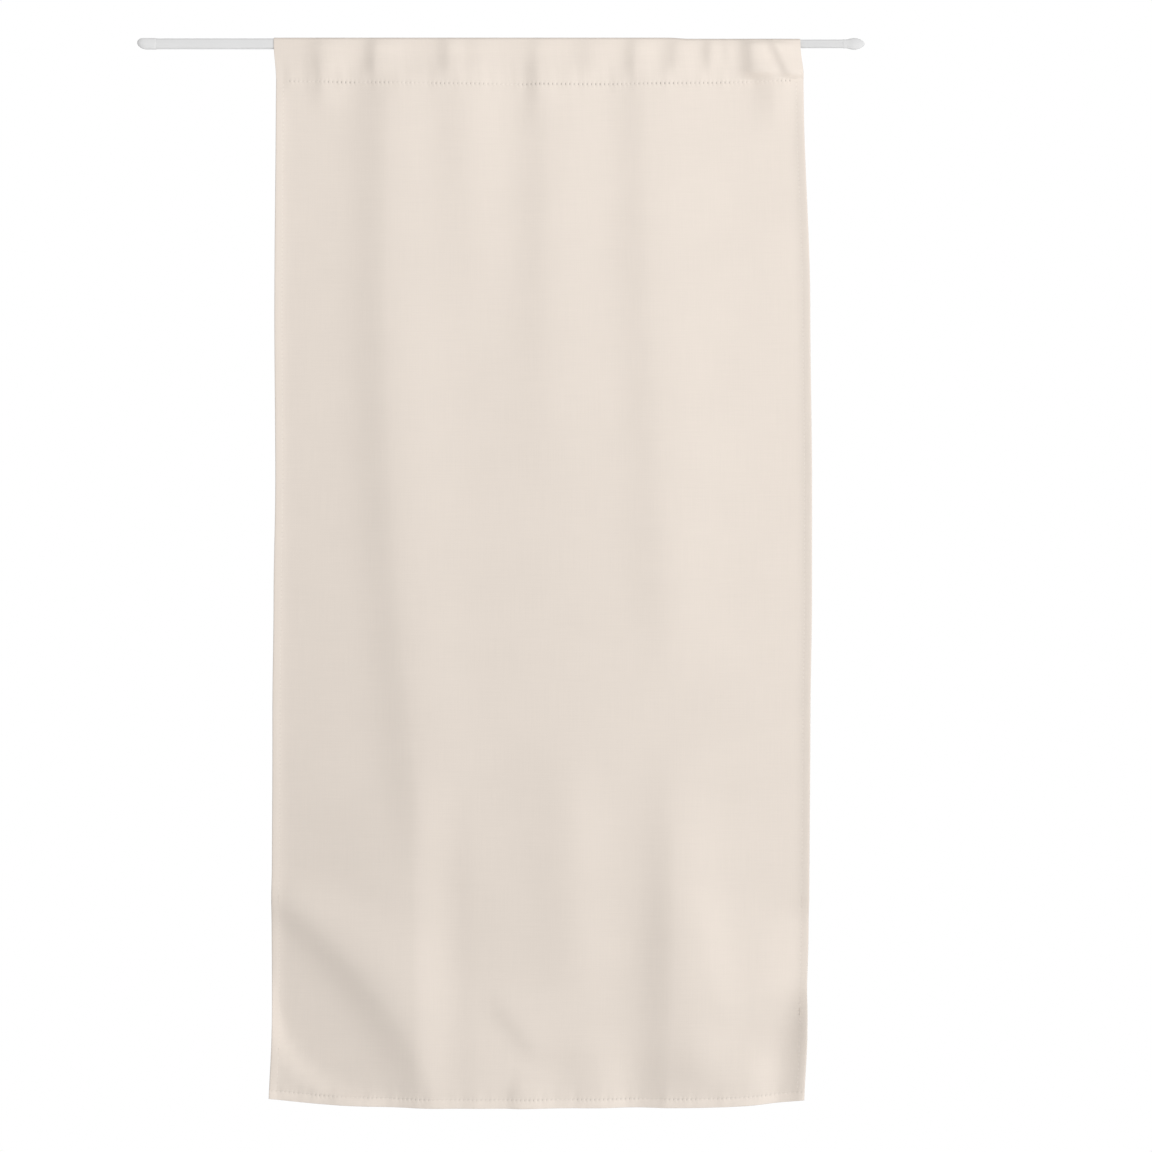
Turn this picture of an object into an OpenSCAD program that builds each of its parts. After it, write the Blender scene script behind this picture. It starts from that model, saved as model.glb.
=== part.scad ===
/* [Rod] */
// Height of the outer tube's flat-oval section
outer_h = 12; // [11:0.5:14]
// Depth of the outer tube's section, front to back
outer_d = 6; // [5.5:0.5:8]
// Wall of the outer tube
outer_wall = 1; // [0.7:0.1:1.2]
// Length of the outer tube
outer_len = 570; // [500:5:640]
// Running gap between the two tubes, all round
slide_gap = 0.25; // [0.15:0.05:0.4]
// Wall of the inner tube
inner_wall = 0.8; // [0.5:0.1:1]
// Length of the inner tube
inner_len = 480; // [400:5:520]
// From the outer tube's free end to the middle of its hook seat
seat_inset = 20; // [10:1:40]
// Outer tube left bare, from the hook seat to the cloth
bare_left = 112; // [60:1:150]
// Inner tube left bare, from the cloth to the finial
bare_right = 48; // [46:1:120]

/* [End pieces] */
// Length of the blunt cap outside the outer tube
cap_len = 21.5; // [16:0.5:30]
// How much taller the cap is than the outer tube
cap_swell = 0.9; // [0.4:0.1:2]
// Length of the pointed finial outside the inner tube
finial_len = 24.5; // [18:0.5:36]
// Height of the finial at its widest
finial_h = 13; // [11:0.5:18]
// Depth of the finial at its widest, front to back
finial_d = 5; // [4.5:0.5:9]
// How much wider the finial's neck is than the inner tube
neck_swell = 0.4; // [0.2:0.1:1]
// Length of the plug that each end piece holds in its tube
plug_len = 12; // [6:1:20]
// Gap between a plug and its tube, all round
plug_gap = 0.1; // [0.05:0.05:0.2]

/* [Curtain] */
// Flat width of the finished cloth
cloth_w = 612; // [560:2:680]
// Finished drop, from the top edge to the bottom edge
cloth_drop = 1198; // [1100:2:1300]
// Thickness of one layer of cloth
cloth_t = 0.6; // [0.4:0.1:1]
// Gap between the cloth and what it hangs on
cloth_gap = 0.3; // [0.2:0.1:0.6]
// Depth of the rod pocket, from the top edge to its seam
pocket_depth = 47; // [40:1:60]
// Width of the side hems
side_hem = 10; // [8:1:16]
// Height of the bottom hem
bottom_hem = 11; // [8:1:20]
// Rise of the bottom corners over the middle of the bottom edge
corner_rise = 10.5; // [0:0.5:20]

/* [Stitching] */
// Thickness of the sewing thread
thread_d = 0.5; // [0.3:0.1:0.7]
// How far the thread stands proud of the cloth
thread_proud = 0.15; // [0.1:0.05:0.25]
// From a hem's inner fold to its line of stitches
stitch_in = 1.5; // [1:0.5:3]
// From the cloth's side edge to the first stitch of the pocket seam
seam_inset = 16; // [12:1:24]
// From the cloth's side edge to the first stitch of the bottom hem
edge_inset = 3; // [2:0.5:8]

/* [Folds] */
// Depth of all folds as a share of the hanging shape
fold_share = 1; // [0.5:0.1:1.2]
// Depth of the gathers on the front of the pocket
gather_h = 4; // [0:0.2:5]
// How much lower the pocket seam hangs in the middle of the cloth than at its sides
seam_sag = 4.5; // [0:0.5:8]

/* [Hidden] */
$fn = 64;

inner_h = outer_h - 2 * (outer_wall + slide_gap);
inner_d = outer_d - 2 * (outer_wall + slide_gap);

// The hook seat on the rear face of the outer tube is the origin
rod_y = -outer_d / 2;
outer_x0 = -seat_inset;
mouth_x = outer_x0 + outer_len;

// Places on the cloth are in percent: across from its middle, of half its flat width, and down
// from the rod, of its drop. Share of the flat width that the folds take up, and sideways sway:
TAKE_UP = [[0, 3.5], [3.3, 3.3], [25, 1.8], [41, 1.7], [52, 1.4], [83, 1.6], [92, 2.3], [100, 2.5]];
SWAY = [[0, 0], [3.3, 3], [25, 6], [41, 7.5], [52, 6.5], [63, 5], [83, 4], [92, 2.5], [100, -1]];
hung_w = cloth_w * (1 - TAKE_UP[0][1] / 100);
cloth_mid = bare_left + hung_w / 2;
finial_x = bare_left + hung_w + bare_right;
inner_x0 = finial_x - inner_len;

// The pocket hangs on the top of the tubes; the seam and the bottom edge are drops below the axis
top_drop = -(outer_h / 2 + cloth_gap + cloth_t);
flat_drop = (outer_h - outer_d) / 2;
seam_drop = top_drop + pocket_depth;
edge_drop = top_drop + cloth_drop;

// Each fold is a ridge towards the viewer that runs down the cloth, with a flank on each side:
// [across at its top, across at its foot, bow, down at top, down at foot, fade in, fade out,
//  height at top, at foot, left flank at top, at foot, right flank at top, at foot]
// Places, bow and fades are in percent, heights and flanks in mm.
FOLDS = [
    [2, 2, 0, 0, 116, 50, 4, 8, 12, 260, 260, 260, 260],
    [-52, -37, -8, 0, 79, 0, 9, 8.2, 5.2, 34, 32, 65, 50],
    [-26, -21, 0, 0, 32, 0, 25, 6.2, 4.2, 34, 34, 44, 44],
    [5, 5, 0, 0, 50, 0, 33, 5.8, 3.6, 30, 34, 60, 60],
    [40, 52, -2, 0, 63, 0, 12, 5.4, 4.2, 28, 36, 75, 45],
    [88, 88, 0, 0, 9, 0, 5, 5.2, 5.2, 20, 20, 30, 30],
    [10, 15, 0, 63, 92, 10, 8, 3.8, 3.8, 44, 36, 30, 34],
    [51.5, 46.5, 1, 63, 116, 16, 4, 6.8, 7.8, 30, 30, 40, 60],
    [54, 68, 0, 77, 93, 5, 5, 4.6, 4.6, 60, 60, 26, 26],
    [84, 84, 0, 84, 116, 8, 4, 11, 11, 95, 90, 200, 200],
    [58, 62, 0, 90, 98.5, 4, 3, 3.5, 3.5, 28, 28, 35, 35],
    [76, 80, 0, 93, 116, 3, 4, 9.5, 9.5, 66, 66, 30, 30],
    [20, 25, 0, 91, 104, 6, 4, 5.4, 5.4, 36, 36, 26, 26],
    [-47, -44, 0, 65, 116, 12, 4, 7.5, 7.5, 120, 120, 32, 32],
    [-23, -20, 0, 65, 116, 10, 4, 1.6, 1.8, 20, 20, 70, 70],
    [-106, -33, 13, 77, 100, 4, 0, 9, 9.6, 37, 37, 44, 130],
    [103, 101, 0, 80, 90.5, 2, 2.5, -8.5, -8.5, 42, 42, 60, 60],
    [102, 88, 0, 88, 116, 3, 4, 9.8, 10.2, 22, 26, 30, 30],
    [-106, -106, 0, 93, 116, 5, 4, 5, 5, 30, 30, 55, 55]];

// Gathers on the pocket's front: [across at the rod, lean down to the seam, height share,
// left flank, right flank, sharpness of its end at the seam], places in percent and flanks in mm
GATHERS = [
    [-78, 0, 1, 15, 22, 2.2], [-58, -1, 1.3, 12, 26, 2.2], [-32, 1, 1, 12, 18, 2.2],
    [-22, 0, 0.5, 12, 20, 2.2], [1, -1, 0.6, 11, 20, 2.2], [20, 1, 0.5, 14, 20, 2.2],
    [37, -1, 0.9, 11, 18, 2.2], [52, -1, 0.8, 12, 18, 2.2], [64, 0, 0.9, 9, 14, 1.6],
    [70, 1, 0.6, 8, 14, 1.4], [79, 1.5, 2.1, 14, 26, 4.5], [86, 8, 1.4, 8, 20, 8]];
crown_gather = 0.5;
gather_grow = 4;
sag_fade = 300;

function smooth(t) = let (c = min(1, max(0, t))) c * c * (3 - 2 * c);
function mix(a, b, t) = a + (b - a) * t;

// A value given at some places down the cloth, read smoothly between them
function read(table, down, i = 0) =
    i >= len(table) - 2 || down < table[i + 1][0]
    ? mix(table[i][1], table[i + 1][1],
          smooth((down - table[i][0]) / (table[i + 1][0] - table[i][0])))
    : read(table, down, i + 1);

// A bell with its own width on each side of its crest
function bell(x, left, right) = exp(-pow(x / (x < 0 ? left : right), 2));

// A fade over no length is none
function fade(way, length) = length == 0 ? 1 : smooth(way / length);

function fold(f, x, down) =
    let (t = min(1, max(0, (down - f[3]) / (f[4] - f[3]))),
         crest = (mix(f[0], f[1], t) + f[2] * 4 * t * (1 - t)) * cloth_w / 200,
         height = mix(f[7], f[8], t) * fade(down - f[3], f[5]) * fade(f[4] - down, f[6]))
    height * bell(x - crest, mix(f[9], f[10], t), mix(f[11], f[12], t));

function sum(list, i = 0) = i == len(list) ? 0 : list[i] + sum(list, i + 1);
function percent(drop) = drop / cloth_drop * 100;

// How far the cloth stands towards the viewer, from the rod's middle plane
function folds(x, drop) = fold_share * sum([for (f = FOLDS) fold(f, x, percent(drop))]);

function gather(g, x, down) =
    g[2] * bell(x - (g[0] + g[1] * down) * cloth_w / 200, g[3], g[4]) * smooth((1 - down) * g[5]);
function gathers(x, drop) =
    let (down = (drop - top_drop) / pocket_depth)
    gather_h * mix(crown_gather, 1, smooth(down * gather_grow)) * sum([for (g = GATHERS) gather(g, x, down)]);

// Place of a point of the cloth: share of the width across, drop, and distance off the fold surface
function across_x(a, drop) =
    (a - 0.5) * cloth_w * (1 - read(TAKE_UP, percent(drop)) / 100) + read(SWAY, percent(drop));
function sag(drop) = drop < seam_drop ? smooth(drop / seam_drop) : 1 - smooth((drop - seam_drop) / sag_fade);
function hang_z(a, drop) = -drop - seam_sag * (1 - pow(2 * a - 1, 2)) * sag(drop);
function cloth_point(a, drop, off) =
    let (x = across_x(a, drop))
    [cloth_mid + x, rod_y - off - folds(x, max(drop, seam_drop)), hang_z(a, drop)];

// In the pocket both layers run from the rod to the seam, and the folds fade out towards the rod
calm_drop = outer_h / 2 + 2;
function pocket_point(a, drop, off, puff) =
    let (x = across_x(a, drop), calm = smooth((drop - calm_drop) / (seam_drop - calm_drop)))
    [cloth_mid + x, rod_y - off - calm * folds(x, seam_drop) - puff * gathers(x, drop),
     hang_z(a, drop)];

// Over the top of the tubes; past the outer tube's mouth the cloth settles onto the inner tube
mouth_clear = 3;
settle_len = 25;
function settle_down(x) =
    (outer_h - inner_h) / 2 * smooth((cloth_mid + x - mouth_x - mouth_clear) / settle_len);
function crown_point(a, angle, radius, puff) =
    let (x = across_x(a, 0),
         rise = flat_drop - settle_down(x),
         bump = puff * gathers(x, -flat_drop) * cos(angle))
    [cloth_mid + x, rod_y - (radius + bump) * cos(angle), rise + radius * sin(angle)];

function bottom(a) = edge_drop - corner_rise * pow(2 * a - 1, 4);

// Stations across the width, with a step at the inner fold of each side hem
COLS = 68;
hem_a = side_hem / cloth_w;
fold_a = cloth_t / cloth_w;
function stations() = concat(
    [0, hem_a], [for (i = [0:COLS]) mix(hem_a + fold_a, 1 - hem_a - fold_a, i / COLS)], [1 - hem_a, 1]);

// Drops of the panel's rows, wide apart in the straight upper folds and close in the lower ones
UPPER_ROWS = 9;
LOWER_ROWS = 12;
upper_share = 0.66;
lower_drop = cloth_drop * upper_share;
turn_drop = seam_drop + stitch_in * 2;
function panel_drops(a) = concat(
    [seam_drop, turn_drop],
    [for (i = [0:UPPER_ROWS - 1]) mix(turn_drop + cloth_t, lower_drop, i / UPPER_ROWS)],
    [for (i = [0:LOWER_ROWS - 1]) mix(lower_drop, bottom(a) - bottom_hem - cloth_t, i / (LOWER_ROWS - 1))],
    [bottom(a) - bottom_hem, bottom(a)]);

// Hems and the seam are three layers, laid to the back
function in_hem(a, drop) =
    a <= hem_a || a >= 1 - hem_a || drop <= turn_drop || drop >= bottom(a) - bottom_hem;
function back_off(a, drop) = in_hem(a, drop) ? -2 * cloth_t : 0;

// The pocket's own rows: the flat of the rod, and from there to the seam
POCKET_SHARES = [0.78, 0.52, 0.26, 0];
CROWN_ANGLES = [0:30:180];
function pocket_drop(share) = mix(flat_drop, seam_drop, share);
loop_r = outer_d / 2 + cloth_gap;
function loop_off(share) = mix(loop_r, 0, share);

function front_panel(a) = [for (d = panel_drops(a)) cloth_point(a, d, cloth_t)];
function back_panel(a) = [for (d = panel_drops(a)) cloth_point(a, d, back_off(a, d))];
function pocket_front(a, t) =
    [for (s = POCKET_SHARES) pocket_point(a, pocket_drop(s), loop_off(s) + t, 1)];
function pocket_back(a, t) =
    [for (s = POCKET_SHARES) pocket_point(a, pocket_drop(s), -loop_off(s) - t, 0)];
function crown(a, t) =
    [for (g = CROWN_ANGLES) crown_point(a, g, loop_r + t, g < 90 ? 1 : 0)];
function reversed(list) = [for (i = [len(list) - 1:-1:0]) list[i]];

// Closed outlines of one station: the cloth's outer face, and the tunnel for the rod
function outer_ring(a) = concat(reversed(front_panel(a)), pocket_front(a, cloth_t), crown(a, cloth_t),
                                reversed(pocket_back(a, cloth_t)), back_panel(a));
function tunnel_ring(a) = concat([cloth_point(a, seam_drop, 0)], pocket_front(a, 0), crown(a, 0),
                                 reversed(pocket_back(a, 0)));

// Faces of a tube of stations; flip turns them to look inwards. The front and the back half of a
// ring are split along the same slant, so a thin wall keeps its thickness where the cloth twists
function skin(stations, ring, first, flip) =
    [for (s = [0:stations - 2], i = [0:ring - 1])
        let (j = (i + 1) % ring,
             a = first + s * ring + i, b = first + s * ring + j,
             c = first + (s + 1) * ring + j, d = first + (s + 1) * ring + i,
             halves = i < ring / 2 ? [[a, c, b], [a, d, c]] : [[a, d, b], [b, d, c]])
        each [for (f = halves) flip ? [f[0], f[2], f[1]] : f]];

// End of the cloth: strips between its two faces, and between the outer face and the tunnel
function end_faces(rows, ring, tunnel, o, t, flip) =
    let (strips = concat(
        [for (i = [0:rows - 2]) [o + i, o + i + 1, o + ring - 2 - i, o + ring - 1 - i]],
        [for (i = [0:tunnel - 1])
            [o + rows - 1 + i, o + rows + i, t + (i + 1) % tunnel, t + i]]))
    [for (q = strips) each flip ? [[q[0], q[1], q[2]], [q[0], q[2], q[3]]]
                                : [[q[0], q[2], q[1]], [q[0], q[3], q[2]]]];

module curtain_solid() {
    at = stations();
    n = len(at);
    outer = [for (a = at) each outer_ring(a)];
    inner = [for (a = at) each tunnel_ring(a)];
    ring = len(outer) / n;
    tunnel = len(inner) / n;
    rows = len(panel_drops(0));
    first = len(outer);
    polyhedron(
        concat(outer, inner),
        concat(skin(n, ring, 0, false),
               skin(n, tunnel, first, true),
               end_faces(rows, ring, tunnel, 0, first, true),
               end_faces(rows, ring, tunnel, (n - 1) * ring, first + (n - 1) * tunnel, false)),
        convexity = 10);
}

// A run of stitches through all layers of a hem: a closed strip along its rings of four points
module strip(rings) {
    n = len(rings);
    last = (n - 1) * 4;
    polyhedron([for (r = rings) each r],
               concat(skin(n, 4, 0, false), [[0, 1, 2, 3]], [[last + 3, last + 2, last + 1, last]]),
               convexity = 10);
}

// The four points of a stitch line's section, across the line and through the cloth
through_front = cloth_t + thread_proud;
through_back = -2 * cloth_t - thread_proud;
function level_section(a, drop) = [
    cloth_point(a, drop + thread_d / 2, through_front), cloth_point(a, drop - thread_d / 2, through_front),
    cloth_point(a, drop - thread_d / 2, through_back), cloth_point(a, drop + thread_d / 2, through_back)];
thread_a = thread_d / 2 / cloth_w;
function upright_section(a, drop) = [
    cloth_point(a + thread_a, drop, through_front), cloth_point(a - thread_a, drop, through_front),
    cloth_point(a - thread_a, drop, through_back), cloth_point(a + thread_a, drop, through_back)];

stitch_a = (side_hem - stitch_in) / cloth_w;
function level_run(inset) = let (first = inset / cloth_w)
    concat([first], [for (a = stations()) if (a > first && a < 1 - first) a], [1 - first]);
function upright_run(a) =
    [for (d = panel_drops(a)) if (d > seam_drop + stitch_in && d < bottom(a) - bottom_hem) d];

// Flat-oval section: two true half rounds joined by a flat
module flat_oval(h, d) {
    square([d, h - d], center = true);
    for (side = [-1, 1]) translate([0, side * (h - d) / 2]) circle(d = d);
}

// A flat-oval bar along the rod from x0, len long
module bar(x0, len, h, d) {
    translate([x0, rod_y, 0]) rotate([90, 0, 90]) linear_extrude(len) flat_oval(h, d);
}

module tube(x0, len, h, d, wall) {
    difference() {
        bar(x0, len, h, d);
        bar(x0 - 1, len + 2, h - 2 * wall, d - 2 * wall);
    }
}

module outer_tube() color("gainsboro") tube(outer_x0, outer_len, outer_h, outer_d, outer_wall);
module inner_tube() color("gainsboro") tube(inner_x0, inner_len, inner_h, inner_d, inner_wall);

// One section of an end piece: a soft flat oval of given half height, half depth and rise
SIDES = 24;
softness = 0.8;
function soft_round(c) = sign(c) * pow(abs(c), softness);
function oval_ring(x, half_h, half_d, rise) = [
    for (i = [0:SIDES - 1]) let (g = 360 * i / SIDES)
        [x, rod_y + half_d * soft_round(cos(g)), rise + half_h * soft_round(sin(g))]];

module lofted(rings) {
    n = len(rings);
    polyhedron([for (r = rings) each r],
               concat(skin(n, SIDES, 0, false),
                      [[for (i = [0:SIDES - 1]) i]],
                      [[for (i = [SIDES - 1:-1:0]) (n - 1) * SIDES + i]]),
               convexity = 4);
}

// Height of an elliptic nose at x, from start to its tip at len
function nose(x, start, len, high) =
    high * sqrt(max(0, 1 - pow(max(0, x - start) / (len - start), 2)));

// Blunt cap: its upper corner is tight and its lower one long, so its tip sits above the axis
cap_tip_rise = 1.3;
cap_top_round = 6.5;
cap_low_round = 12.5;
cap_side_round = 9;
cap_steps = 16;
cap_end = 0.05;
cap_half_h = (outer_h + cap_swell) / 2;
cap_half_d = (outer_d + cap_swell) / 2;
function cap_ring(x) =
    let (top = cap_tip_rise + nose(x, cap_len - cap_top_round, cap_len, cap_half_h - cap_tip_rise),
         low = cap_tip_rise - nose(x, cap_len - cap_low_round, cap_len, cap_half_h + cap_tip_rise),
         deep = nose(x, cap_len - cap_side_round, cap_len, cap_half_d))
    oval_ring(outer_x0 - x, (top - low) / 2, deep, (top + low) / 2);

module left_cap() color("whitesmoke") {
    lofted([for (i = [cap_steps:-1:0]) cap_ring((cap_len - cap_end) * sin(90 * i / cap_steps))]);
    bar(outer_x0, plug_len, outer_h - 2 * (outer_wall + plug_gap), outer_d - 2 * (outer_wall + plug_gap));
}

// Pointed finial: a neck over the tube, a swell and a long rounded point
finial_steps = 18;
neck_h = inner_h + neck_swell;
neck_d = inner_d + neck_swell;
neck_len = 3;
swell_x = 12;
point_power = 2;
point_round = 0.6;
finial_end = 0.1;
function swell(x, neck, wide) =
    x < swell_x ? mix(neck, wide, smooth((x - neck_len) / (swell_x - neck_len)))
                : wide * pow(1 - pow((x - swell_x) / (finial_len - swell_x), point_power), point_round);
function finial_ring(x) =
    oval_ring(finial_x + x, swell(x, neck_h, finial_h) / 2, swell(x, neck_d, finial_d) / 2, 0);

module right_finial() color("whitesmoke") {
    lofted([for (i = [0:finial_steps]) finial_ring((finial_len - finial_end) * i / finial_steps)]);
    bar(finial_x - plug_len, plug_len,
        inner_h - 2 * (inner_wall + plug_gap), inner_d - 2 * (inner_wall + plug_gap));
}

module curtain() color("antiquewhite") curtain_solid();

module pocket_stitching() color("linen")
    strip([for (a = level_run(seam_inset)) level_section(a, seam_drop + stitch_in)]);
module bottom_stitching() color("linen")
    strip([for (a = level_run(edge_inset)) level_section(a, bottom(a) - bottom_hem + stitch_in)]);
module left_stitching() color("linen")
    strip([for (d = upright_run(stitch_a)) upright_section(stitch_a, d)]);
module right_stitching() color("linen")
    strip([for (d = upright_run(1 - stitch_a)) upright_section(1 - stitch_a, d)]);

outer_tube();
inner_tube();
left_cap();
right_finial();
curtain();
pocket_stitching();
bottom_stitching();
left_stitching();
right_stitching();
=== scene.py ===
import math

import bpy
import numpy as np
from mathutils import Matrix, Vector


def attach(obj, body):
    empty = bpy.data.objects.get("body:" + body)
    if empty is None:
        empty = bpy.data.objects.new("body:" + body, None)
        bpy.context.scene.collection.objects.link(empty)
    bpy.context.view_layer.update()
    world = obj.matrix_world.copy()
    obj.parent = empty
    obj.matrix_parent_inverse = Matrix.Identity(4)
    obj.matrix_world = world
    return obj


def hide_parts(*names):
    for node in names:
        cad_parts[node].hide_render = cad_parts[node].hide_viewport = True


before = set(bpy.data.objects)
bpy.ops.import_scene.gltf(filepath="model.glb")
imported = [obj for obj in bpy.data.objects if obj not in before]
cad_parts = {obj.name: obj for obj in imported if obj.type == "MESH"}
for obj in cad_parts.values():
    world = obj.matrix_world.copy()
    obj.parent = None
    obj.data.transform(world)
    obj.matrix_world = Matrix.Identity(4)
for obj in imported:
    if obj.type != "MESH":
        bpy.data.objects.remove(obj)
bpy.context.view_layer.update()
print("frame loaded:", sorted(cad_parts))

# All shapes are worked out in millimetres, with the origin at the hook seat on the outer tube's
# rear face, X along the rod, -Y towards the viewer and Z up. They become metres in the mesh.
metre = 0.001

rod = dict(
    outerHeight=12.0, outerDepth=6.0, outerWall=1.0, outerLength=570.0,
    innerHeight=9.5, innerDepth=3.5, innerWall=0.8, innerLength=480.0,
    outerStart=-20.0,      # free end of the outer tube
    rimRound=0.25,         # rounding of the cut tube ends
    sides=64,
)
cap = dict(
    length=21.5, swell=0.9, tipRise=1.3, topRound=6.5, lowRound=12.5, sideRound=9.0,
    plug=12.0, plugGap=0.1, rings=44,
)
finial = dict(
    length=24.5, height=13.0, depth=5.0, neckSwell=0.4, neckLength=3.0, swellAt=12.0,
    pointPower=2.0, pointRound=0.6,
    plug=12.0, plugGap=0.1, rings=60,
)
cloth = dict(
    width=612.0, drop=1198.0, layer=0.6, gap=0.3, pocket=47.0,
    sideHem=10.0, bottomHem=11.0, cornerRise=10.5,
    bareLeft=112.0, bareRight=48.0,
    edgeRound=0.9,         # the folded edges are round
    calmBelow=2.0,         # the folds start this far below the rod
    settleFrom=3.0, settleOver=25.0,   # past the outer tube's mouth it comes down on the inner one
    crownMap=8.0,          # how far the weave's map runs from the flat up to the crown
    columnStep=2.5, rowStep=12.0,
)
stitches = dict(
    pitch=5.0, shown=3.7,  # one stitch, and how much of it shows between its holes
    thread=0.5, proud=0.12, dip=0.3,
    inFromFold=1.5,        # from a hem's inner fold to its line
    seamInset=16.0, edgeInset=3.0,     # from the side edges to the seam's and the hem's ends
    sideStart=2.0,         # from the seam down to the first stitch of a side hem
    groove=0.12, grooveWidth=0.7, grooveLead=1.0, sideShare=0.4,
    along=[0.0, 0.18, 0.5, 0.82, 1.0], thickness=[0.6, 0.95, 1.0, 0.95, 0.6], sides=6,
)

rodY = -rod["outerDepth"] / 2
mouthX = rod["outerStart"] + rod["outerLength"]
loopRadius = rod["outerDepth"] / 2 + cloth["gap"]
topDrop = -(rod["outerHeight"] / 2 + cloth["gap"] + cloth["layer"])
flatDrop = (rod["outerHeight"] - rod["outerDepth"]) / 2
seamDrop = topDrop + cloth["pocket"]
edgeDrop = topDrop + cloth["drop"]
calmDrop = rod["outerHeight"] / 2 + cloth["calmBelow"]
turnDrop = seamDrop + 2 * stitches["inFromFold"]
seamLine = seamDrop + stitches["inFromFold"]
hemLine = cloth["bottomHem"] - stitches["inFromFold"]
sideLine = cloth["sideHem"] - stitches["inFromFold"]
sideStart = seamLine + stitches["sideStart"]

# How the cloth hangs. Places are in percent: across from its middle, of half its flat width, and
# down from the rod, of its drop.
takeUp = [[0, 3.5], [3.3, 3.3], [25, 1.8], [41, 1.7], [52, 1.4], [83, 1.6], [92, 2.3], [100, 2.5]]
sway = [[0, 0], [3.3, 3], [25, 6], [41, 7.5], [52, 6.5], [63, 5], [83, 4], [92, 2.5], [100, -1]]
seamSag = dict(middle=4.5, fadeBelow=300.0)   # the pocket hangs deeper in the middle of the cloth
hungWidth = cloth["width"] * (1 - takeUp[0][1] / 100)
clothMid = cloth["bareLeft"] + hungWidth / 2
finialX = cloth["bareLeft"] + hungWidth + cloth["bareRight"]
innerStart = finialX - rod["innerLength"]

# Each fold is a ridge towards the viewer that runs down the cloth, with a flank on each side:
# across at its top, at its foot, bow, down at top, at foot, fade in, fade out,
# height at top, at foot, left flank at top, at foot, right flank at top, at foot
folds = [
    [2, 2, 0, 0, 116, 50, 4, 8.0, 12.0, 260, 260, 260, 260],
    [-52, -37, -8, 0, 79, 0, 9, 8.2, 5.2, 34, 32, 65, 50],
    [-26, -21, 0, 0, 32, 0, 25, 6.2, 4.2, 34, 34, 44, 44],
    [5, 5, 0, 0, 50, 0, 33, 5.8, 3.6, 30, 34, 60, 60],
    [40, 52, -2, 0, 63, 0, 12, 5.4, 4.2, 28, 36, 75, 45],
    [88, 88, 0, 0, 9, 0, 5, 5.2, 5.2, 20, 20, 30, 30],
    [-78, -78, 0, 0, 7.5, 0, 4, 3.2, 3.2, 13, 13, 20, 20],
    [1, 0, 0, 0, 8, 0, 4, 2.2, 2.2, 11, 11, 18, 18],
    [10, 15, 0, 63, 92, 10, 8, 3.8, 3.8, 44, 36, 30, 34],
    [51.5, 46.5, 1, 63, 116, 16, 4, 6.8, 7.8, 30, 30, 40, 60],
    [54, 68, 0, 77, 93, 5, 5, 4.6, 4.6, 60, 60, 26, 26],
    [84, 84, 0, 84, 116, 8, 4, 11.0, 11.0, 95, 90, 200, 200],
    [58, 62, 0, 90, 98.5, 4, 3, 3.5, 3.5, 28, 28, 35, 35],
    [76, 80, 0, 93, 116, 3, 4, 9.5, 9.5, 66, 66, 30, 30],
    [20, 25, 0, 91, 104, 6, 4, 5.4, 5.4, 36, 36, 26, 26],
    [-16, 4, 0, 88.5, 95.2, 2, 1.5, 4.2, 4.2, 15, 15, 160, 160],
    [-5, -5, 0, 96.3, 116, 1.5, 2, 4.5, 4.5, 13, 13, 40, 40],
    [-47, -44, 0, 65, 116, 12, 4, 7.5, 7.5, 120, 120, 32, 32],
    [-23, -20, 0, 65, 116, 10, 4, 1.6, 1.8, 20, 20, 70, 70],
    [-106, -33, 13, 77, 100, 4, 0, 9.0, 9.6, 37, 37, 44, 130],
    [103, 101, 0, 80, 90.5, 2, 2.5, -8.5, -8.5, 42, 42, 60, 60],
    [102, 88, 0, 88, 116, 3, 4, 9.8, 10.2, 22, 26, 30, 30],
    [-106, -106, 0, 93, 116, 5, 4, 5.0, 5.0, 30, 30, 55, 55],
]
# Gathers on the pocket's front: across at the rod, lean down to the seam, height share, flanks,
# and how sharply it ends at the seam
gathers = [
    [-78, 0, 1.0, 15, 22, 2.2], [-58, -1, 1.3, 12, 26, 2.2], [-32, 1, 1.0, 12, 18, 2.2],
    [-22, 0, 0.5, 12, 20, 2.2], [1, -1, 0.6, 11, 20, 2.2], [20, 1, 0.5, 14, 20, 2.2],
    [37, -1, 0.9, 11, 18, 2.2], [52, -1, 0.8, 12, 18, 2.2], [64, 0, 0.9, 9, 14, 1.6],
    [70, 1, 0.6, 8, 14, 1.4], [79, 1.5, 2.1, 14, 26, 4.5], [86, 8, 1.4, 8, 20, 8.0],
]
gatherShape = dict(height=4.0, crownShare=0.5, fullAt=0.25)
puckers = dict(
    seamHeight=0.16, hemHeight=0.2, reach=9.0,            # small waves where the cloth is sewn
    lengths=[13.0, 21.0, 34.0], shares=[0.5, 0.8, 1.0],
    phaseStep=1.7, wander=2.3, wanderLength=61.0,         # the waves don't line up or repeat
    curlHeight=2.2, curlReach=9.0, curlOver=30.0,         # the side hems curl to the front
    hemCurl=1.5, hemReach=9.0,                            # the bottom hem curls to the front
)
# Outside this oval the lower left corner steps forward: the oval's middle from the left edge and
# from the bottom, its half width and half height, the step, where it starts and over how much of
# the oval it rises, and how it dies away to the right and up
cornerFold = dict(
    right=112.0, up=112.0, wide=112.0, high=98.0, step=7.5, start=0.92, over=0.2,
    endRight=151.2, fadeRight=70.0, endUp=150.0, fadeUp=50.0,
)


def smooth(t):
    # three t squared less two t cubed, held at 0 and at 1
    c = np.clip(t, 0, 1)
    return c * c * (3 - 2 * c)


def mix(a, b, t):
    return a + (b - a) * t


def bell(x, left, right):
    # e to the minus square of x over its flank's width
    return np.exp(-(x / np.where(x < 0, left, right)) ** 2)


def fade(way, length):
    return smooth(way / length) if length else 1.0


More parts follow.
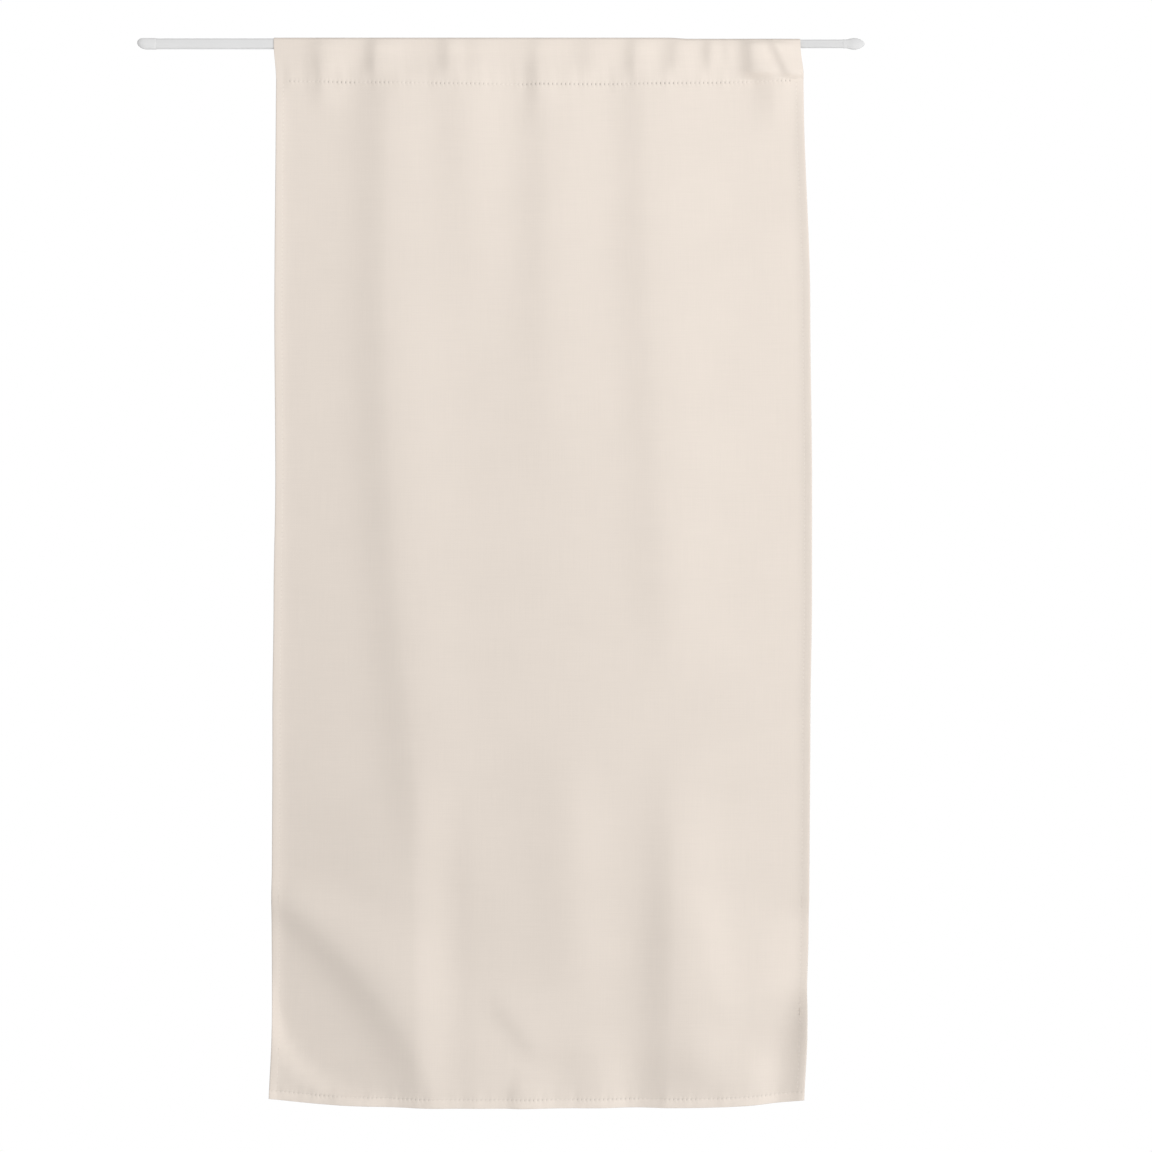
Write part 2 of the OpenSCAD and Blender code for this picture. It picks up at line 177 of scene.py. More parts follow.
def readTable(table, at):
    # each row holds a place and a value, and the value goes smoothly from row to row
    places, values = np.array(table, float).T
    i = np.clip(np.searchsorted(places, at, side="right") - 1, 0, len(places) - 2)
    t = smooth((at - places[i]) / (places[i + 1] - places[i]))
    return mix(values[i], values[i + 1], t)


def percent(drop):
    return drop / cloth["drop"] * 100


def bottomDrop(a):
    # the bottom edge rises to its corners with the fourth power of the way out
    return edgeDrop - cloth["cornerRise"] * (2 * a - 1) ** 4


def acrossX(a, drop):
    down = percent(drop)
    return (a - 0.5) * cloth["width"] * (1 - readTable(takeUp, down) / 100) + readTable(sway, down)


def hangZ(a, drop):
    # height below the rod: the drop, and a sag at the seam that is a parabola across and fades
    # out towards the rod and down the cloth
    share = np.where(drop < seamDrop, smooth(drop / seamDrop),
                     1 - smooth((drop - seamDrop) / seamSag["fadeBelow"]))
    return -drop - seamSag["middle"] * (1 - (2 * a - 1) ** 2) * share


def foldHeight(x, drop):
    # the sum of all ridges: a bell across, whose crest and flanks move evenly from top to foot
    down = percent(drop)
    half = cloth["width"] / 200
    total = np.zeros(np.broadcast(x, drop).shape)
    for f in folds:
        t = np.clip((down - f[3]) / (f[4] - f[3]), 0, 1)
        crest = (mix(f[0], f[1], t) + f[2] * 4 * t * (1 - t)) * half
        height = mix(f[7], f[8], t) * fade(down - f[3], f[5]) * fade(f[4] - down, f[6])
        total = total + height * bell(x - crest, mix(f[9], f[10], t), mix(f[11], f[12], t))
    return total


def gatherBump(x, drop):
    # bells across, lower on the crown, full below it and gone at the seam, each with its own
    # sharpness
    down = (drop - topDrop) / cloth["pocket"]
    half = cloth["width"] / 200
    ridge = sum(g[2] * smooth((1 - down) * g[5])
                * bell(x - (g[0] + g[1] * down) * half, g[3], g[4]) for g in gathers)
    share = mix(gatherShape["crownShare"], 1, smooth(down / gatherShape["fullAt"]))
    return gatherShape["height"] * share * ridge


def cornerStep(across, fromBottom):
    c = cornerFold
    ring = np.sqrt(((across - c["right"]) / c["wide"]) ** 2
                   + ((fromBottom - c["up"]) / c["high"]) ** 2)
    return (c["step"] * smooth((ring - c["start"]) / c["over"])
            * smooth((c["endRight"] - across) / c["fadeRight"])
            * smooth((c["endUp"] - fromBottom) / c["fadeUp"]))


def fineWaves(a, drop):
    # three sines of the place across, strongest on the seam and the hem line and gone a little
    # way off them, curls that die away from the side edges and from the bottom edge, and the
    # step at the lower left corner
    across = a * cloth["width"]
    fromSide = np.minimum(a, 1 - a) * cloth["width"]
    fromBottom = bottomDrop(a) - drop
    drift = puckers["wander"] * np.sin(across / puckers["wanderLength"])
    wave = sum(share * np.sin(2 * math.pi * across / length + puckers["phaseStep"] * n + drift)
               for n, (length, share) in enumerate(zip(puckers["lengths"], puckers["shares"])))
    nearSeam = np.exp(-((drop - seamLine) / puckers["reach"]) ** 2)
    nearHem = np.exp(-((fromBottom - hemLine) / puckers["reach"]) ** 2)
    curl = puckers["curlHeight"] * np.exp(-(fromSide / puckers["curlReach"]) ** 2)
    return (wave * (puckers["seamHeight"] * nearSeam + puckers["hemHeight"] * nearHem)
            + curl * smooth((drop - seamDrop) / puckers["curlOver"])
            + cornerStep(across, fromBottom)
            + puckers["hemCurl"] * np.exp(-(fromBottom / puckers["hemReach"]) ** 2))


def stitchGroove(a, drop):
    # how far each face is drawn in along the lines of stitches
    across = a * cloth["width"]
    fromSide = np.minimum(across, cloth["width"] - across)
    fromBottom = bottomDrop(a) - drop
    w, lead = stitches["grooveWidth"], stitches["grooveLead"]
    onSeam = fromSide > stitches["seamInset"] - lead
    onHem = fromSide > stitches["edgeInset"] - lead
    level = (np.exp(-((drop - seamLine) / w) ** 2) * onSeam
             + np.exp(-((fromBottom - hemLine) / w) ** 2) * onHem)
    side = np.exp(-((fromSide - sideLine) / w) ** 2) * (drop > seamLine) * (fromBottom > hemLine)
    return stitches["groove"] * np.minimum(1, level + stitches["sideShare"] * side)


def roundEdge(distance, radius):
    # share of the half thickness left at a distance from a round edge
    return np.sqrt(np.clip(1 - (1 - np.clip(distance / radius, 0, 1)) ** 2, 0, 1))


def panelPoint(a, drop, off):
    x = acrossX(a, drop)
    y = rodY - off - foldHeight(x, np.maximum(drop, seamDrop)) - fineWaves(a, drop)
    return np.stack(np.broadcast_arrays(clothMid + x, y, hangZ(a, drop)), -1)


def panelOffsets(a, drop):
    # front and back faces off the fold surface: one layer, three in the hems, round at the edges
    t = cloth["layer"]
    across = a * cloth["width"]
    fromSide = np.minimum(across, cloth["width"] - across)
    fromBottom = bottomDrop(a) - drop
    hem = 1 - (smooth((fromSide - cloth["sideHem"]) / t)
               * smooth((drop - turnDrop) / t)
               * smooth((fromBottom - cloth["bottomHem"]) / t))
    groove = stitchGroove(a, drop)
    front = t - groove
    back = -2 * t * hem + groove
    k = roundEdge(fromSide, cloth["edgeRound"]) * roundEdge(fromBottom, cloth["edgeRound"])
    middle, half = (front + back) / 2, (front - back) / 2
    return middle + half * k, middle - half * k


def pocketPoint(a, drop, off, puff):
    # front or back layer between the rod's middle and the seam: the folds fade out towards the rod
    x = acrossX(a, drop)
    atSeam = seamDrop + 0 * drop
    calm = smooth((drop - calmDrop) / (seamDrop - calmDrop))
    y = (rodY - off - calm * (foldHeight(x, atSeam) + fineWaves(a, atSeam))
         - puff * gatherBump(x, np.maximum(drop, -flatDrop)))
    return np.stack(np.broadcast_arrays(clothMid + x, y, hangZ(a, drop)), -1)


def crownPoint(a, angle, radius, puff):
    # round the tubes' top; past the outer tube's mouth the cloth settles onto the inner tube
    x = acrossX(a, 0 * a)
    past = clothMid + x - mouthX - cloth["settleFrom"]
    settle = (rod["outerHeight"] - rod["innerHeight"]) / 2 * smooth(past / cloth["settleOver"])
    bump = puff * gatherBump(x, -flatDrop + 0 * x) * np.cos(angle)
    y = rodY - (radius + bump) * np.cos(angle)
    z = flatDrop - settle + radius * np.sin(angle)
    return np.stack(np.broadcast_arrays(clothMid + x, y, z), -1)


def addMesh(name, points, faces, uvs=None):
    # points in millimetres; faces is one array of corner rows, or a list of such arrays
    groups = [np.asarray(g, np.int32) for g in (faces if isinstance(faces, list) else [faces])]
    mesh = bpy.data.meshes.new(name)
    mesh.vertices.add(len(points))
    mesh.vertices.foreach_set("co", (np.asarray(points) * metre).astype(np.float32).ravel())
    corners = np.concatenate([g.ravel() for g in groups])
    sizes = np.concatenate([np.full(len(g), g.shape[1], np.int32) for g in groups])
    starts = np.concatenate([[0], np.cumsum(sizes)[:-1]]).astype(np.int32)
    mesh.loops.add(len(corners))
    mesh.loops.foreach_set("vertex_index", corners)
    mesh.polygons.add(len(sizes))
    mesh.polygons.foreach_set("loop_start", starts)
    mesh.polygons.foreach_set("loop_total", sizes)
    mesh.polygons.foreach_set("use_smooth", np.ones(len(sizes), bool))
    for uvName, values in (uvs or {}).items():
        layer = mesh.uv_layers.new(name=uvName)
        layer.data.foreach_set("uv", (values[corners] * metre).astype(np.float32).ravel())
    mesh.update(calc_edges=True)
    mesh.validate()
    piece = bpy.data.objects.new(name, mesh)
    bpy.context.scene.collection.objects.link(piece)
    return piece


def stripFaces(ids, flip=False):
    # quads between the neighbours of a grid of vertex numbers
    a, b, c, d = ids[:-1, :-1], ids[1:, :-1], ids[1:, 1:], ids[:-1, 1:]
    return np.stack([a, d, c, b] if flip else [a, b, c, d], -1).reshape(-1, 4)


# the curtain
def clothColumns():
    # millimetres across: close at the edge, the hem's stitches and its inner fold, then even
    near = np.array([0, 0.12, 0.35, 0.6, 0.9, 2, 3.5, 5.5, 7.3, 8.0, 8.25, 8.5, 8.75, 9.2, 10.0,
                     10.3, 10.6, 11.4])
    evenFrom, evenTo = 13.5, cloth["width"] - 12.0
    middle = np.arange(evenFrom, evenTo, cloth["columnStep"])
    return np.concatenate([near, middle, (cloth["width"] - near)[::-1]]) / cloth["width"]


def panelDrops(a):
    # rows from the seam down, close at the seam and at the bottom hem; one row array per column
    top = seamDrop + np.array([0, 0.5, 0.9, 1.25, 1.5, 1.75, 2.1, 3.0, 3.3, 3.6, 5.5, 8.5, 12.5,
                               18.0])
    foot = np.array([24.0, 17.5, 13.8, 11.9, 11.3, 11.0, 10.1, 9.75, 9.5, 9.25, 8.9, 7.0, 4.5, 2.4,
                     0.9, 0.6, 0.35, 0.12, 0.0])
    count = int((edgeDrop - seamDrop) / cloth["rowStep"])
    inner = np.linspace(0, 1, count + 2)[1:-1]
    bottom = bottomDrop(a)[:, None]
    return np.concatenate([np.broadcast_to(top, (len(a), len(top))),
                           mix(top[-1], bottom - foot[0], inner[None]),
                           bottom - foot[None]], 1)


def buildCurtain():
    a = clothColumns()
    column = a[:, None]
    drops = panelDrops(a)
    front, back = panelOffsets(column, drops)
    frontPanel, backPanel = panelPoint(column, drops, front), panelPoint(column, drops, back)

    # the pocket's two layers, from just above the seam to the top of the rod's flat
    shares = np.array([0.985, 0.95, 0.9, 0.83, 0.75, 0.66, 0.57, 0.48, 0.38, 0.28, 0.18, 0.08, 0])
    pocketDrops = np.concatenate([mix(flatDrop, seamDrop, shares), [0]])[None]
    lean = np.concatenate([mix(loopRadius, 0, shares), [loopRadius]])[None]
    angles = np.radians(np.linspace(0, 180, 15))[None]
    t = cloth["layer"]
    across = column * cloth["width"]
    k = roundEdge(np.minimum(across, cloth["width"] - across), cloth["edgeRound"] / 2)
    faceOffs = {"outer": t / 2 + t / 2 * k, "tunnel": t / 2 - t / 2 * k}
    loops = {}
    for face, off in faceOffs.items():
        rows = [pocketPoint(column, pocketDrops, lean + off, 1),
                crownPoint(column, angles, loopRadius + off, np.cos(angles) > 0),
                pocketPoint(column, pocketDrops[:, ::-1], -(lean[:, ::-1] + off), 0)]
        loops[face] = np.concatenate(rows, 1)

    # outer ring: up the front from the bottom, over the rod and down the back
    outer = np.concatenate([frontPanel[:, ::-1], loops["outer"], backPanel[:, :-1]], 1)
    crease = panelPoint(column, np.full_like(column, seamDrop), 0 * column)
    tunnel = np.concatenate([crease, loops["tunnel"]], 1)
    n, ring, inner, rows = len(a), outer.shape[1], tunnel.shape[1], drops.shape[1]
    outer[[0, -1], rows - 1] = crease[[0, -1], 0]
    outerIds = np.arange(n * ring).reshape(n, ring)
    tunnelIds = n * ring + np.arange(n * inner).reshape(n, inner)
    # at both side edges the two faces meet in one line of points
    for end in (0, -1):
        outerIds[end, ring - rows + 1:] = outerIds[end, 1:rows][::-1]
        tunnelIds[end] = outerIds[end, rows - 1:rows - 1 + inner]
    closed = [np.concatenate([ids, ids[:, :1]], 1) for ids in (outerIds, tunnelIds)]
    faces = np.concatenate([stripFaces(closed[0]), stripFaces(closed[1], flip=True)])

    points = np.concatenate([outer.reshape(-1, 3), tunnel.reshape(-1, 3)])
    # how far down the cloth every point is, for the maps that the weave and the holes read
    crownDrops = -flatDrop - cloth["crownMap"] * np.sin(angles[0])
    loopDrops = np.concatenate([pocketDrops[0], crownDrops, pocketDrops[0, ::-1]])
    ringDrops = np.concatenate([drops[:, ::-1], np.broadcast_to(loopDrops, (n, inner - 1)),
                                drops[:, :-1]], 1)
    tunnelDrops = np.concatenate([np.full((n, 1), seamDrop),
                                  ringDrops[:, rows:rows + inner - 1]], 1)
    allDrops = np.concatenate([ringDrops.ravel(), tunnelDrops.ravel()])
    allAcross = np.concatenate([np.repeat(a, ring), np.repeat(a, inner)]) * cloth["width"]
    fromSide = np.minimum(allAcross, cloth["width"] - allAcross)
    fromBottom = bottomDrop(allAcross / cloth["width"]) - allDrops
    used, faces = np.unique(faces, return_inverse=True)
    faces = faces.reshape(-1, 4)
    uvs = {"flat": np.stack([allAcross, allDrops - topDrop], -1)[used],
           "hem": np.stack([fromSide, fromBottom], -1)[used]}
    return addMesh("curtain_cloth", points[used], faces, uvs)


curtain = buildCurtain()
print("curtain:", len(curtain.data.polygons), "faces")


# the stitches
def buildStitches(name, lineA, lineDrop):
    # every stitch is a short thread, thinner at both ends, that dips into its holes; lineA and
    # lineDrop give the place on the cloth at a distance along the line, for whole arrays
    share = np.array(stitches["along"])
    radius = stitches["thread"] / 2 * np.array(stitches["thickness"])
    lift = stitches["proud"] - (stitches["dip"] + stitches["proud"]) * (2 * share - 1) ** 4
    hidden = (stitches["pitch"] - stitches["shown"]) / 2
    near = 0.5   # the line's direction is taken this far before and after a point
    turn = 360 / stitches["sides"]
    angle = np.radians(np.arange(stitches["sides"]) * turn + turn / 2)[:, None]

    def run(starts, side):
        along = starts[:, None] + hidden + share * stitches["shown"]
        a, drop = lineA(along), lineDrop(along)
        front, back = panelOffsets(a, drop)
        level = front + lift - radius if side > 0 else back - lift + radius
        centre = panelPoint(a, drop, level + side * stitches["groove"] / 2)
        ahead = (panelPoint(lineA(along + near), lineDrop(along + near), level)
                 - panelPoint(lineA(along - near), lineDrop(along - near), level))
        ahead /= np.linalg.norm(ahead, axis=-1, keepdims=True)
        outward = np.array([0.0, -1.0, 0.0]) - ahead * (-ahead[..., 1:2])
        outward /= np.linalg.norm(outward, axis=-1, keepdims=True)
        beside = np.cross(ahead, outward)
        ring = beside[:, :, None] * np.cos(angle) + outward[:, :, None] * np.sin(angle)
        return centre[:, :, None] + ring * radius[None, :, None, None]

    starts = np.arange(*stitchRuns[name], stitches["pitch"])
    starts = starts[starts + stitches["pitch"] <= stitchRuns[name][1] + 0.01]
    points = np.concatenate([run(starts, 1), run(starts, -1)])
    count, rings, sides = points.shape[:3]
    ids = np.arange(count * rings * sides).reshape(count, rings, sides)
    closed = np.concatenate([ids, ids[:, :, :1]], 2)
    quads = np.stack([closed[:, :-1, :-1], closed[:, 1:, :-1],
                      closed[:, 1:, 1:], closed[:, :-1, 1:]], -1)
    ends = [ids[:, 0].reshape(-1, sides), ids[:, -1, ::-1].reshape(-1, sides)]
    return addMesh(name, points.reshape(-1, 3), [quads.reshape(-1, 4)] + ends)


width, lastStitch = cloth["width"], edgeDrop - hemLine - cloth["cornerRise"]
stitchRuns = {
    "pocket_thread": (stitches["seamInset"], width - stitches["seamInset"]),
    "hem_thread": (stitches["edgeInset"], width - stitches["edgeInset"]),
    "left_thread": (sideStart, lastStitch),
    "right_thread": (sideStart, lastStitch),
}
threads = {
    "pocket_stitching": buildStitches(
        "pocket_thread", lambda s: s / width, lambda s: seamLine + 0 * s),
    "bottom_stitching": buildStitches(
        "hem_thread", lambda s: s / width, lambda s: bottomDrop(s / width) - hemLine),
    "left_stitching": buildStitches(
        "left_thread", lambda s: sideLine / width + 0 * s, lambda s: s),
    "right_stitching": buildStitches(
        "right_thread", lambda s: 1 - sideLine / width + 0 * s, lambda s: s),
}
print("stitches:", sum(len(piece.data.polygons) for piece in threads.values()), "faces")


# the rod
def ovalRing(height, depth, angle):
    # flat oval: half rounds of the depth, moved up and down by half the flat
    flat = np.sign(np.sin(angle)) * (height - depth) / 2
    return depth / 2 * np.cos(angle), flat + depth / 2 * np.sin(angle)


def ovalAngles():
    # both ends of each flat get a point of their own, a hair off the level
    half = np.linspace(0, 180, rod["sides"] // 2 + 1)
    half[0], half[-1] = 0.001, 179.999
    return np.radians(np.concatenate([half, half + 180]))


def buildTube(name, start, length, height, depth, wall):
    # the section is carried along a closed path: outside, round rim, inside and round rim again
    r = rod["rimRound"]
    inside = r + 0.6   # the straight part starts a little behind the rim
    corner = np.radians(np.linspace(0, 90, 5))
    stations = [[start + inside, 0], [start + length / 2, 0], [start + length - inside, 0]]
    path = np.array(
        stations
        + [[start + length - r + r * math.sin(g), r - r * math.cos(g)] for g in corner]
        + [[start + length - r + r * math.cos(g), wall - r + r * math.sin(g)] for g in corner]
        + [[x, wall] for x, _ in stations[::-1]]
        + [[start + r - r * math.sin(g), wall - r + r * math.cos(g)] for g in corner]
        + [[start + r - r * math.cos(g), r - r * math.sin(g)] for g in corner])
    angle = ovalAngles()
    rings = []
    for x, inset in path:
        y, z = ovalRing(height - 2 * inset, depth - 2 * inset, angle)
        rings.append(np.stack([np.full_like(y, x), rodY + y, z], -1))
    points = np.array(rings)
    ids = np.arange(points.shape[0] * points.shape[1]).reshape(points.shape[:2])
    ids = np.concatenate([ids, ids[:1]])
    ids = np.concatenate([ids, ids[:, :1]], 1)
    return addMesh(name, points.reshape(-1, 3), stripFaces(ids, flip=True))


def softOval(halfHeight, halfDepth, rise, count=56, power=0.8):
    # an oval between an ellipse and a rounded bar: cosine and sine to a power below one
    angle = np.radians(np.arange(count) * 360 / count)
    soften = lambda c: np.sign(c) * np.abs(c) ** power
    return (rodY + halfDepth[:, None] * soften(np.cos(angle)),
            rise[:, None] + halfHeight[:, None] * soften(np.sin(angle)))


def nose(x, start, length, high):
    # quarter ellipse from start to its tip
    return high * np.sqrt(np.clip(1 - (np.clip(x - start, 0, None) / (length - start)) ** 2, 0, 1))


def buildLoft(name, x, halfHeight, halfDepth, rise):
    # rings along X, closed at both ends with a fan round a middle point
    y, z = softOval(halfHeight, halfDepth, rise)
    points = np.stack(np.broadcast_arrays(x[:, None], y, z), -1)
    rings, sides = points.shape[:2]
    ids = np.arange(rings * sides).reshape(rings, sides)
    ids = np.concatenate([ids, ids[:, :1]], 1)
    middles = np.array([[x[end], rodY, rise[end]] for end in (0, -1)])
    first, last = rings * sides, rings * sides + 1
    fans = [np.stack([np.full(sides, first), ids[0, 1:], ids[0, :-1]], -1),
            np.stack([np.full(sides, last), ids[-1, :-1], ids[-1, 1:]], -1)]
    return addMesh(name, np.concatenate([points.reshape(-1, 3), middles]),
                   [stripFaces(ids, flip=True)] + fans)


def capShape():
    # from the plug's end inside the tube, over the shoulder and out to the blunt tip
    length, rise = cap["length"], cap["tipRise"]
    high, deep = [(rod[key] + cap["swell"]) / 2 for key in ("outerHeight", "outerDepth")]
    nearTip = 89.2   # degrees round the tip: the last ring is very small
    x = length * np.sin(np.radians(np.linspace(0, nearTip, cap["rings"])))
    top = rise + nose(x, length - cap["topRound"], length, high - rise)
    low = rise - nose(x, length - cap["lowRound"], length, high + rise)
    side = nose(x, length - cap["sideRound"], length, deep)
    return x, (top - low) / 2, side, (top + low) / 2


def addPlug(x, halfHeight, halfDepth, rise, plugHeight, plugDepth, plugLength):
    # a plug inside the tube, and a small round where the end piece starts
    lead, r = 0.4, 0.3
    before = np.array([-plugLength, -plugLength + lead, -0.02, 0.0, 0.05, 0.15])
    inset = np.array([lead, 0.0, 0.0, r, 0.12, 0.03])
    isPlug = before < 0
    height = np.where(isPlug, plugHeight / 2 - inset, halfHeight[0] - inset)
    depth = np.where(isPlug, plugDepth / 2 - inset, halfDepth[0] - inset)
    keep = x > r
    middle = np.where(isPlug, 0, rise[0])
    return [np.concatenate([plug, end[keep]]) for plug, end in
            ((before, x), (height, halfHeight), (depth, halfDepth), (middle, rise))]


def swellShape():
    # neck, swell and long rounded point of the finial
    length, neckEnd, widest = finial["length"], finial["neckLength"], finial["swellAt"]
    tip = 0.6   # the rings are closer over this last length
    x = np.concatenate([[0], np.linspace(0.35, length - tip, finial["rings"] - 10),
                        length - tip * (1 - np.sin(np.radians(np.linspace(12, 75, 8))))])

    def swell(neck, wide):
        rising = mix(neck, wide, smooth((x - neckEnd) / (widest - neckEnd)))
        way = np.clip((x - widest) / (length - widest), 0, 1)
        falling = wide * (1 - way ** finial["pointPower"]) ** finial["pointRound"]
        return np.where(x < widest, rising, falling) / 2

    return (x, swell(rod["innerHeight"] + finial["neckSwell"], finial["height"]),
            swell(rod["innerDepth"] + finial["neckSwell"], finial["depth"]), 0 * x)


outerTube = buildTube("outer_tube_lacquered", rod["outerStart"], rod["outerLength"],
                      rod["outerHeight"], rod["outerDepth"], rod["outerWall"])
innerTube = buildTube("inner_tube_lacquered", innerStart, rod["innerLength"],
                      rod["innerHeight"], rod["innerDepth"], rod["innerWall"])
capX, capHigh, capDeep, capRise = addPlug(
    *capShape(), rod["outerHeight"] - 2 * (rod["outerWall"] + cap["plugGap"]),
    rod["outerDepth"] - 2 * (rod["outerWall"] + cap["plugGap"]), cap["plug"])
leftCap = buildLoft("left_cap_moulded", (rod["outerStart"] - capX)[::-1],
                    capHigh[::-1], capDeep[::-1], capRise[::-1])
finX, finHigh, finDeep, finRise = addPlug(
    *swellShape(), rod["innerHeight"] - 2 * (rod["innerWall"] + finial["plugGap"]),
    rod["innerDepth"] - 2 * (rod["innerWall"] + finial["plugGap"]), finial["plug"])
rightFinial = buildLoft("right_finial_moulded", finialX + finX, finHigh, finDeep, finRise)
print("rod: two tubes, cap and finial")


# materials
def newMaterial(name, **settings):
    # a Principled material with its plain values set on the shader's own sockets
    material = bpy.data.materials.new(name)
    material.use_nodes = True
    tree = material.node_tree
    shader = tree.nodes["Principled BSDF"]
    for socket, value in settings.items():
        shader.inputs[socket.replace("_", " ")].default_value = value
    return tree, shader, material


def addNode(tree, kind, inputs=None, **settings):
    # a node whose inputs are given by number or name: a socket is linked, and a value is set
    node = tree.nodes.new(kind)
    for key, value in settings.items():
        setattr(node, key, value)
    for key, value in (inputs or {}).items():
        if isinstance(value, bpy.types.NodeSocket):
            tree.links.new(value, node.inputs[key])
        else:
            node.inputs[key].default_value = value
    return node


def maths(tree, operation, *values):
    return addNode(tree, "ShaderNodeMath", dict(enumerate(values)), operation=operation).outputs[0]


def scaled(tree, vector, x, y, z=1.0):
    return addNode(tree, "ShaderNodeVectorMath", {0: vector, 1: (x, y, z)},
                   operation="MULTIPLY").outputs[0]


def noise(tree, vector, scale, detail=2.0, roughness=0.5):
    return addNode(tree, "ShaderNodeTexNoise", {"Vector": vector, "Scale": scale, "Detail": detail,
                                                "Roughness": roughness}).outputs["Fac"]


def stretched(tree, value, low, high):
    # a noise value about a half becomes one between low and high
    return addNode(tree, "ShaderNodeMapRange", {"Value": value, "From Min": 0.25, "From Max": 0.75,
                                                "To Min": low, "To Max": high}).outputs[0]


def fading(tree, value, start, end, first, last):
    # goes softly from first where the value is start to last where it is end
    return addNode(tree, "ShaderNodeMapRange", {"Value": value, "From Min": start, "From Max": end,
                                                "To Min": first, "To Max": last},
                   interpolation_type="SMOOTHSTEP").outputs[0]


def setColour(tree, shader, colour, factor):
    # the base colour is a plain colour times a pattern
    product = addNode(tree, "ShaderNodeVectorMath", {0: colour, "Scale": factor},
                      operation="SCALE").outputs[0]
    tree.links.new(product, shader.inputs["Base Color"])


def setBump(tree, shader, strength, distance, height):
    bump = addNode(tree, "ShaderNodeBump", {"Strength": strength, "Distance": distance,
                                            "Height": height})
    tree.links.new(bump.outputs[0], shader.inputs["Normal"])


# pattern scales are turns per metre, and the shares say how much each pattern changes
clothLook = dict(
    colour=(0.808, 0.727, 0.652), threadPitch=0.00042,
    unevenScale=160.0, unevenTurn=5.0, weaveTone=0.02,
    slub=0.012, slubFine=900.0, slubLengthDown=18.0, slubLengthAcross=22.0,
    mottle=0.012, mottleScale=14.0, grainScale=900.0,
    # painted light: how much paler the hem band is painted, and where that starts and ends
    hemPaintedLight=0.05, hemPaintedLightFrom=-1.5, hemPaintedLightTo=1.0,      # millimetres off the hem's line
    # painted shade: how much darker the needle holes are painted
    holeShade=0.45, sideHoleShare=0.1, hemHoleShare=0.5, holeSize=0.0009, holeTall=2.2,
    pucker=2.0, puckerReach=0.0045,
    patchScale=28.0, patchTone=(-0.5, 2.0), patchLeast=0.1,   # holes and puckers come and go
    weaveBump=0.12, weaveHeight=0.05, slubHeight=0.06, grainHeight=0.04,
)
threadLook = dict(colour=(0.86, 0.79, 0.72), fibreScale=2500.0, fibreTone=(0.93, 1.05), bump=0.3)
# thread, lacquer and plastic: the depth of their grain in metres, and the roughness of the last two
fineBump, satin = 0.0002, (0.46, 0.54)


